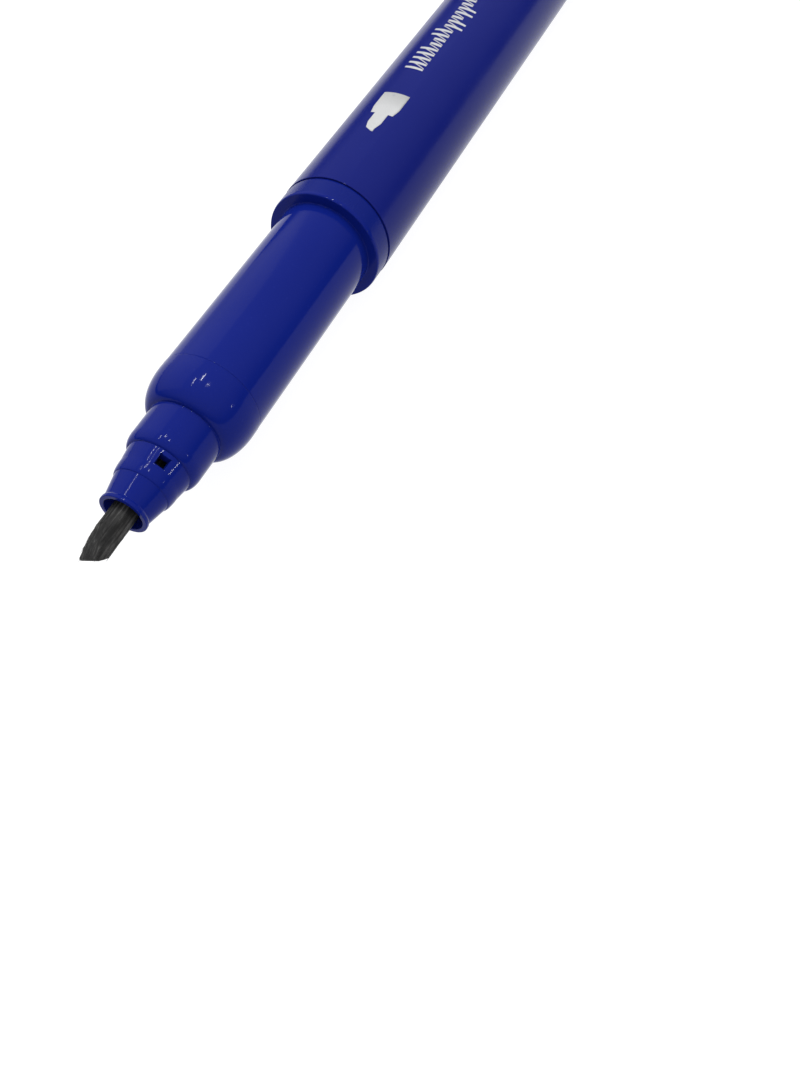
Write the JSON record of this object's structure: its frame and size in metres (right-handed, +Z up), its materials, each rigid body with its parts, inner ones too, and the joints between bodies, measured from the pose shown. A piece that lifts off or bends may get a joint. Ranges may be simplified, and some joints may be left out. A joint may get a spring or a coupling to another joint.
{
  "type": "calligraphy marker",
  "caption": "Twin-tip calligraphy marker, uncapped: round barrel, stepped noses, a fine chisel nib at one end, a broad chisel nib at the other, and pull-off caps with a pocket clip.",
  "frame": {"origin": "middle of the barrel, on its axis", "axes": "+X along the marker from the fine tip to the broad tip, +Z up when the marker lies on a table"},
  "size_m": [0.2856, 0.0143, 0.012],
  "materials": {
    "barrel_blue": "satin moulded royal-blue plastic",
    "gloss_blue": "glossy moulded royal-blue plastic",
    "gloss_black": "glossy moulded black plastic",
    "nib_fibre": "bonded fibre rod soaked with black ink",
    "reservoir_fibre": "ink-soaked polyester fibre",
    "reservoir_film": "thin clear film",
    "seal_white": "natural white polyethylene"
  },
  "bodies": {
    "marker": {"barrel_tube": "barrel_blue", "fine_section": "gloss_blue", "fine_nose": "gloss_blue", "fine_nib": "nib_fibre", "broad_section": "gloss_black", "broad_nose": "gloss_black", "broad_nib": "nib_fibre", "ink_reservoir_core": "reservoir_fibre", "ink_reservoir_film": "reservoir_film"},
    "fine_cap": {"fine_cap_shell": "gloss_blue", "fine_cap_seal": "seal_white", "fine_cap_plug": "gloss_blue", "fine_cap_clip": "gloss_blue"},
    "broad_cap": {"broad_cap_shell": "gloss_black", "broad_cap_seal": "seal_white", "broad_cap_plug": "gloss_black"}
  },
  "joints": [
    {"name": "fine_cap_slide", "type": "slide", "parent": "marker", "child": "fine_cap", "axis": [1, 0, 0], "range_m": [0, 0.06255]},
    {"name": "broad_cap_slide", "type": "slide", "parent": "marker", "child": "broad_cap", "axis": [-1, 0, 0], "range_m": [0, 0.05195]}
  ]
}
